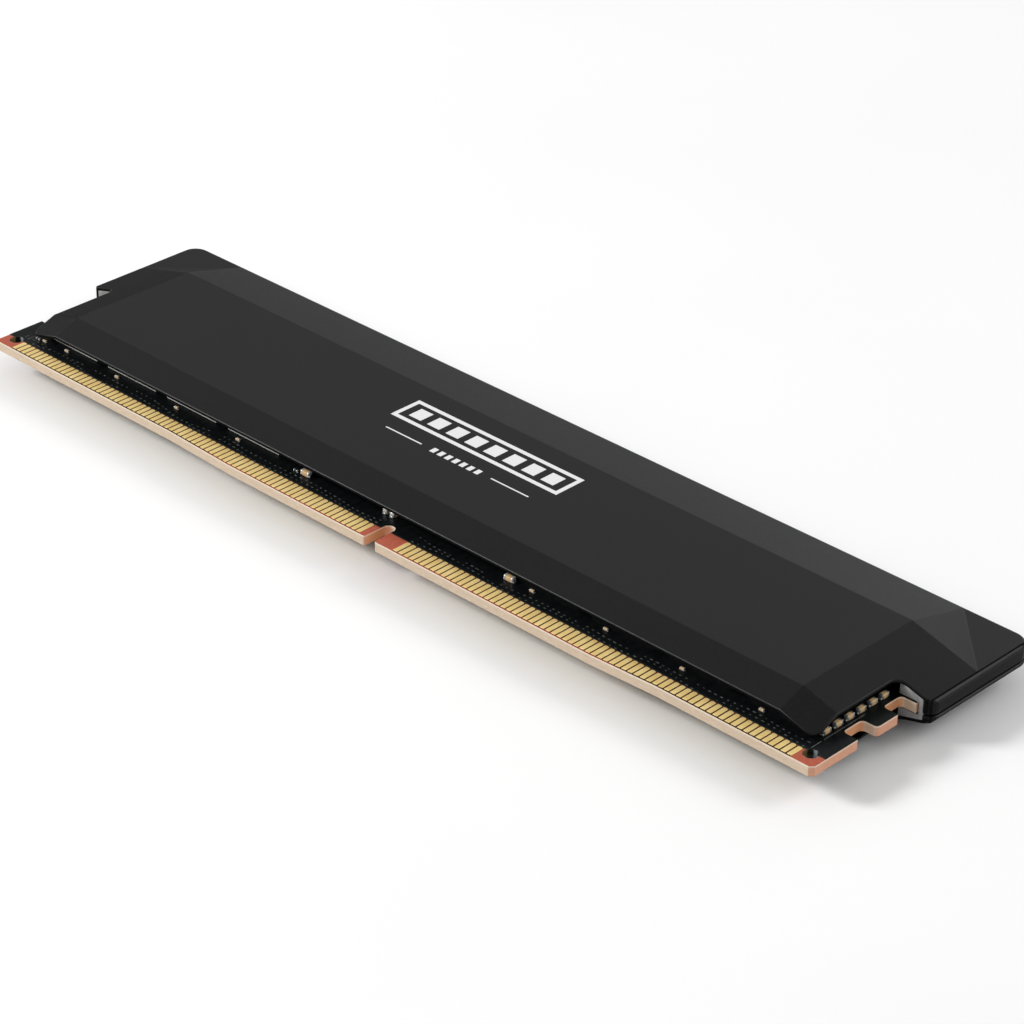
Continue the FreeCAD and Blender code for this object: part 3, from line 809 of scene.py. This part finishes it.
# A darker copy of the tin for the side capacitors' ends: painted shade.
SHADED_TIN = plated_material(
    "shaded_tin", (0.30, 0.30, 0.30), (0.48, 0.48, 0.47), 0.38, (1, 1, 1), metallic=0.6,
)
AGED_TIN = plated_material("aged_tin", (0.20, 0.20, 0.19), (0.34, 0.34, 0.33), 0.45, (1, 1, 1))
RESISTOR = moulded_material("resistor_coat", (0.010, 0.010, 0.012), (0.020, 0.020, 0.022), 0.1, 0.3)
FERRITE = moulded_material(
    "pressed_ferrite", (0.05, 0.05, 0.055), (0.10, 0.10, 0.105), 0.1, 0.65, depth=0.02,
)
PAD_FOAM = foam_material("thermal_pad_silicone", (0.40, 0.42, 0.45), (0.52, 0.54, 0.57), 0.35)
GASKET_FOAM = foam_material("gasket_foam", (0.20, 0.20, 0.20), (0.34, 0.34, 0.34), 0.18)

for face_side in ("front", "back"):
    make_spreader(face_side)
    make_contacts(face_side, GOLD)
    make_vias(face_side)
make_board()
make_print_lines()
make_corner_rings()

mask = mask_material()
ink = moulded_material("white_print", (0.74, 0.74, 0.74), (0.90, 0.90, 0.90), 0.1, 0.6, depth=0.006)
finishes = {"front_solder_mask": mask, "back_solder_mask": mask, "front_emblem": ink}
for cad_node, finish in finishes.items():
    for material_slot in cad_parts[cad_node].material_slots:
        material_slot.material = finish

for chip in range(1, 9):
    make_memory_chip(chip)
make_leaded_package("power_controller", 8, 8)
make_leaded_package("profile_hub", 4, 0)
for coil in range(1, 4):
    make_soldered(f"power_inductor_{coil}", FERRITE, cap_share=0.12)
for group in ("edge", "bulk", "middle", "power", "chip"):
    make_soldered(f"{group}_capacitors", CERAMIC)
make_soldered("side_capacitors", CERAMIC, ends=SHADED_TIN)
make_soldered("back_capacitors", CERAMIC, up=-1)
make_soldered("edge_resistors", RESISTOR)

for pad in ("front_left", "front_right", "back_left", "back_right", "controller"):
    make_soft_part(f"{pad}_thermal_pad", PAD_FOAM, 0.2)
for end in ("left", "right"):
    make_soft_part(f"{end}_end_gasket", GASKET_FOAM, 0.12)


# ---- camera, floor and light ----

CAMERA_PLACE = (242.616, -228.347, 197.745)  # millimetres from the middle of the contact edge
CAMERA_TURN = (43.742, 30.241, 0.851)  # azimuth, elevation and roll in degrees
CAMERA_LENS = 119.27
FLOOR_HALF = 2.5  # metres
FLOOR_DROP = 0.02  # millimetres between the floor and the module's back face


def make_camera():
    """The view from the contact edge's right-hand end, about 30 degrees above the floor."""
    azimuth, elevation, roll = (math.radians(angle) for angle in CAMERA_TURN)
    flat = math.cos(elevation)
    back = Vector((math.sin(azimuth) * flat, -math.cos(azimuth) * flat, math.sin(elevation)))
    right = Vector((math.cos(azimuth), math.sin(azimuth), 0))
    up = back.cross(right)
    turned_right = right * math.cos(roll) + up * math.sin(roll)
    turned_up = up * math.cos(roll) - right * math.sin(roll)
    camera = bpy.data.objects.new("camera", bpy.data.cameras.new("camera"))
    camera.data.lens = CAMERA_LENS
    camera.data.sensor_width = 36
    camera.data.clip_start = 0.01
    camera.rotation_mode = "QUATERNION"
    camera.location = at(*CAMERA_PLACE)
    turned = Matrix((turned_right, turned_up, back)).transposed()
    camera.rotation_quaternion = turned.to_quaternion()
    bpy.context.scene.collection.objects.link(camera)
    bpy.context.scene.camera = camera


def make_floor():
    height = -FLOOR_DROP * MM
    shape = bmesh.new()
    shape.faces.new([
        shape.verts.new((x * FLOOR_HALF, y * FLOOR_HALF, height))
        for x, y in ((-1, -1), (1, -1), (1, 1), (-1, 1))
    ])
    mesh = bpy.data.meshes.new("floor")
    shape.to_mesh(mesh)
    shape.free()
    mesh.materials.append(floor_material())
    floor = bpy.data.objects.new("floor", mesh)
    bpy.context.scene.collection.objects.link(floor)


def make_lamp(name, place, size, power):
    """A large soft lamp that faces the module."""
    data = bpy.data.lights.new(name, "AREA")
    data.shape = "SQUARE"
    data.size = size
    data.energy = power
    lamp = bpy.data.objects.new(name, data)
    lamp.location = place
    lamp.rotation_mode = "QUATERNION"
    lamp.rotation_quaternion = (-Vector(place)).to_track_quat("-Z", "Y")
    bpy.context.scene.collection.objects.link(lamp)


def make_light():
    """A pale studio, darker near the horizon and overhead, with two main lamps and a weak one."""
    world = bpy.data.worlds.new("studio")
    world.use_nodes = True
    sky = Nodes(world.node_tree)
    across, _, upward = sky.split(sky.node("ShaderNodeTexCoord").outputs["Generated"])
    low_sky = sky.ramp(upward, 0.04, 0.5, 0.03, 0.76)
    high_sky = sky.ramp(upward, 0.5, 0.8, 1.0, 0.53)
    left_fall = sky.ramp(across, -0.8, -0.45, 0.3, 1.0)
    kept_above = sky.ramp(upward, 0.15, 0.45, 0.0, 1.0)
    side = sky.math("MAXIMUM", left_fall, kept_above)
    background = world.node_tree.nodes["Background"]
    background.inputs["Color"].default_value = (1, 1, 1, 1)
    sky.wire(sky.times(sky.times(low_sky, high_sky), side), background.inputs["Strength"])
    bpy.context.scene.world = world
    make_lamp("right_back_key", (0.55, 0.68, 0.66), 0.5, 3.3)
    make_lamp("left_front_fill", (-0.6, -0.58, 0.55), 0.25, 7.0)
    make_lamp("back_strip", (-0.30, 0.90, 0.36), 0.25, 0.3)
    bpy.context.scene.view_settings.view_transform = "Standard"


make_camera()
make_floor()
make_light()
